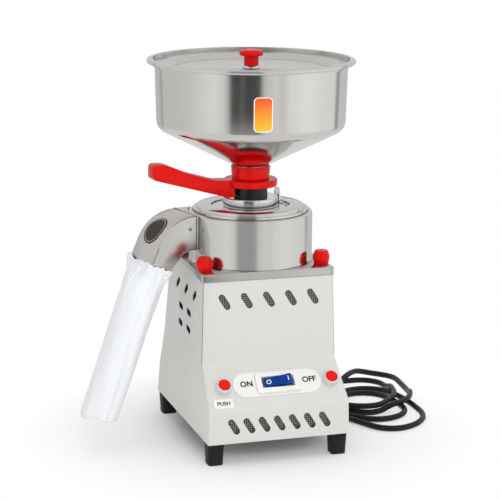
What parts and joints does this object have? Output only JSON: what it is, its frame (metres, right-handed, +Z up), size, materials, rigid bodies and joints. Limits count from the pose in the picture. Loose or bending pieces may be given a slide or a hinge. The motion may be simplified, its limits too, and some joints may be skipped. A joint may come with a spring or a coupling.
{
  "type": "stone flour mill",
  "caption": "Worktop stone flour mill: tapered sheet cabinet with motor, steel drum with side spout and cloth sleeve, red adjusting lever and round hopper.",
  "frame": {"origin": "centre of the bounding box of everything but the gland, cord and plug, at the height of the worktop", "axes": "+Z up along the mill's shaft; -Y is the front, with the sloped control panel; -X is the side of the spout, the sleeve and the lever"},
  "size_m": [0.5668, 0.4055, 0.5707],
  "materials": {
    "cabinet_shell": "silver grey hammered paint, satin",
    "top_plate": "brushed stainless steel",
    "bottom_pan": "dark steel, plain",
    "foot_front_left": "black rubber",
    "foot_front_right": "black rubber",
    "foot_rear_left": "black rubber",
    "foot_rear_right": "black rubber",
    "front_vent_screen": "dark wire mesh",
    "skirt_vent_screen": "dark wire mesh",
    "mount_stud_front_left": "zinc plated steel",
    "mount_stud_front_right": "zinc plated steel",
    "mount_stud_rear_left": "zinc plated steel",
    "mount_stud_rear_right": "zinc plated steel",
    "stud_cap_front_left": "glossy red plastic",
    "stud_cap_front_right": "glossy red plastic",
    "stud_cap_rear_left": "glossy red plastic",
    "stud_cap_rear_right": "glossy red plastic",
    "motor_mount_plate": "dark steel, plain",
    "motor_top_shield": "plain cast aluminium",
    "motor_bottom_shield": "plain cast aluminium",
    "top_bearing": "bright plated steel",
    "bottom_bearing": "bright plated steel",
    "motor_casing": "plain cast aluminium",
    "stator_core": "laminated steel, plain",
    "rotor_core": "laminated steel, plain",
    "main_shaft": "bright plated steel",
    "cooling_fan": "matte black plastic",
    "stone_carrier": "plain cast aluminium",
    "runner_stone": "pale emery stone, rough",
    "drum_housing": "brushed stainless steel",
    "shaft_seal": "black rubber",
    "spout_neck": "brushed stainless steel",
    "spout_elbow": "brushed stainless steel",
    "cloth_sleeve": "thin white woven cloth",
    "chamber_lid": "brushed stainless steel",
    "collar_ring": "bright plated steel",
    "clamp_tab": "bright plated steel",
    "upper_stone": "pale emery stone, rough",
    "stone_holder": "plain cast aluminium",
    "threaded_sleeve": "matte black plastic",
    "adjusting_lever": "glossy red plastic",
    "hopper_socket": "glossy red plastic",
    "hopper": "brushed stainless steel",
    "hopper_lid": "brushed stainless steel",
    "knob_ferrule": "bright plated steel",
    "lid_knob": "glossy red plastic",
    "switch_label_plate": "pale printed sheet",
    "switch_housing": "glossy off-white plastic",
    "switch_rocker": "glossy translucent blue plastic",
    "button_bush_left": "bright plated steel",
    "button_bush_right": "bright plated steel",
    "button_cap_left": "glossy red plastic",
    "button_cap_right": "glossy red plastic",
    "capacitor_cup": "matte black plastic",
    "start_capacitor": "glossy off-white plastic",
    "terminal_block": "matte black plastic",
    "cable_gland": "matte black plastic",
    "power_cord": "black rubber",
    "power_plug": "matte black plastic"
  },
  "bodies": {
    "mill": {"cabinet_shell": "cabinet_shell", "top_plate": "top_plate", "bottom_pan": "bottom_pan", "foot_front_left": "foot_front_left", "foot_front_right": "foot_front_right", "foot_rear_left": "foot_rear_left", "foot_rear_right": "foot_rear_right", "front_vent_screen": "front_vent_screen", "skirt_vent_screen": "skirt_vent_screen", "mount_stud_front_left": "mount_stud_front_left", "mount_stud_front_right": "mount_stud_front_right", "mount_stud_rear_left": "mount_stud_rear_left", "mount_stud_rear_right": "mount_stud_rear_right", "stud_cap_front_left": "stud_cap_front_left", "stud_cap_front_right": "stud_cap_front_right", "stud_cap_rear_left": "stud_cap_rear_left", "stud_cap_rear_right": "stud_cap_rear_right", "motor_mount_plate": "motor_mount_plate", "motor_top_shield": "motor_top_shield", "motor_bottom_shield": "motor_bottom_shield", "top_bearing": "top_bearing", "bottom_bearing": "bottom_bearing", "motor_casing": "motor_casing", "stator_core": "stator_core", "drum_housing": "drum_housing", "shaft_seal": "shaft_seal", "spout_neck": "spout_neck", "spout_elbow": "spout_elbow", "cloth_sleeve": "cloth_sleeve", "chamber_lid": "chamber_lid", "collar_ring": "collar_ring", "clamp_tab": "clamp_tab", "switch_label_plate": "switch_label_plate", "switch_housing": "switch_housing", "button_bush_left": "button_bush_left", "button_bush_right": "button_bush_right", "capacitor_cup": "capacitor_cup", "start_capacitor": "start_capacitor", "terminal_block": "terminal_block", "cable_gland": "cable_gland", "power_cord": "power_cord", "power_plug": "power_plug"},
    "drive": {"rotor_core": "rotor_core", "main_shaft": "main_shaft", "cooling_fan": "cooling_fan", "stone_carrier": "stone_carrier", "runner_stone": "runner_stone"},
    "lever": {"adjusting_lever": "adjusting_lever", "threaded_sleeve": "threaded_sleeve", "hopper_socket": "hopper_socket"},
    "top_stone": {"stone_holder": "stone_holder", "upper_stone": "upper_stone"},
    "hopper": {"hopper": "hopper"},
    "hopper_cover": {"hopper_lid": "hopper_lid", "knob_ferrule": "knob_ferrule", "lid_knob": "lid_knob"},
    "rocker": {"switch_rocker": "switch_rocker"},
    "button_left": {"button_cap_left": "button_cap_left"},
    "button_right": {"button_cap_right": "button_cap_right"}
  },
  "joints": [
    {"name": "drive_spin", "type": "hinge", "parent": "mill", "child": "drive", "pos_m": [0.05398, 0, 0.2], "axis": [0, 0, 1], "continuous": true},
    {"name": "lever_turn", "type": "hinge", "parent": "mill", "child": "lever", "pos_m": [0.05398, 0, 0.378], "axis": [0, 0, 1], "range_deg": [-30, 60]},
    {"name": "stone_gap", "type": "slide", "parent": "mill", "child": "top_stone", "axis": [0, 0, 1], "range_m": [-0.0004, 0.0007]},
    {"name": "hopper_lift", "type": "slide", "parent": "lever", "child": "hopper", "axis": [0, 0, 1], "range_m": [0, 0.06]},
    {"name": "cover_lift", "type": "slide", "parent": "hopper", "child": "hopper_cover", "axis": [0, 0, 1], "range_m": [0, 0.08]},
    {"name": "rocker_tilt", "type": "hinge", "parent": "mill", "child": "rocker", "pos_m": [0.05798, -0.12432, 0.11182], "axis": [0, 0.7071, 0.7071], "range_deg": [0, 32]},
    {"name": "button_left_press", "type": "slide", "parent": "mill", "child": "button_left", "axis": [0, 0.7071, -0.7071], "range_m": [0, 0.0015], "stiffness_N_per_m": 300},
    {"name": "button_right_press", "type": "slide", "parent": "mill", "child": "button_right", "axis": [0, 0.7071, -0.7071], "range_m": [0, 0.0015], "stiffness_N_per_m": 300}
  ],
  "couplings": [
    {"joint": "stone_gap", "follows": "lever_turn", "m_per_rad": 0.000637}
  ]
}
